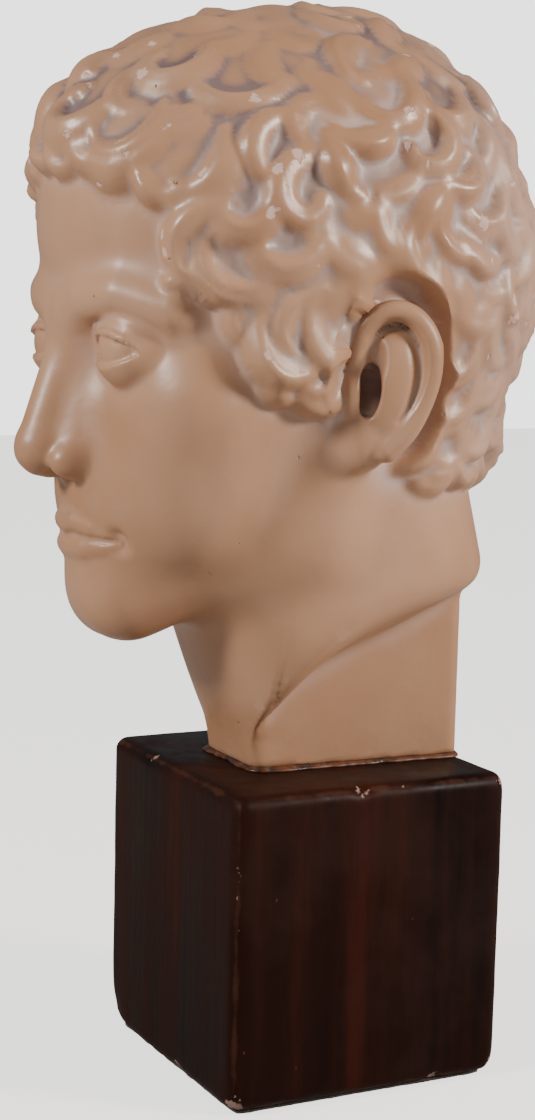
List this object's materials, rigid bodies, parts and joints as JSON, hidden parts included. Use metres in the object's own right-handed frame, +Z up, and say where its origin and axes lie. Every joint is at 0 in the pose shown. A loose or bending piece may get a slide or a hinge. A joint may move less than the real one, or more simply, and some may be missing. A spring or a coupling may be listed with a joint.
{
  "type": "plaster portrait bust on a wooden block",
  "caption": "Painted plaster head of a curly-haired youth, cast solid with a stub under the neck, rod-mounted on a dark stained wooden block.",
  "frame": {"origin": "centre of the felt pad's underside, on the surface the bust stands on", "axes": "+Z up, -Y the way the face looks, +X the sitter's left"},
  "size_m": [0.1612, 0.2168, 0.404],
  "materials": {
    "painted_plaster": "semi-gloss tan paint over cast plaster",
    "stained_wood": "dark red-brown stain, brushed on, satin",
    "bare_wood": "bare",
    "dried_glue": "dried, orange-brown",
    "zinc_steel": "zinc plated",
    "felt_cloth": "pressed felt"
  },
  "bodies": {
    "root": {"plaster_head": "painted_plaster", "neck_plug": "bare_wood", "glue_bed": "dried_glue", "wood_block": "stained_wood", "felt_pad": "felt_cloth", "threaded_rod": "zinc_steel", "anchor_washer": "zinc_steel", "anchor_nut": "zinc_steel", "clamp_washer": "zinc_steel", "lock_washer": "zinc_steel", "clamp_nut": "zinc_steel", "front_dowel": "bare_wood", "rear_dowel": "bare_wood"}
  },
  "joints": []
}
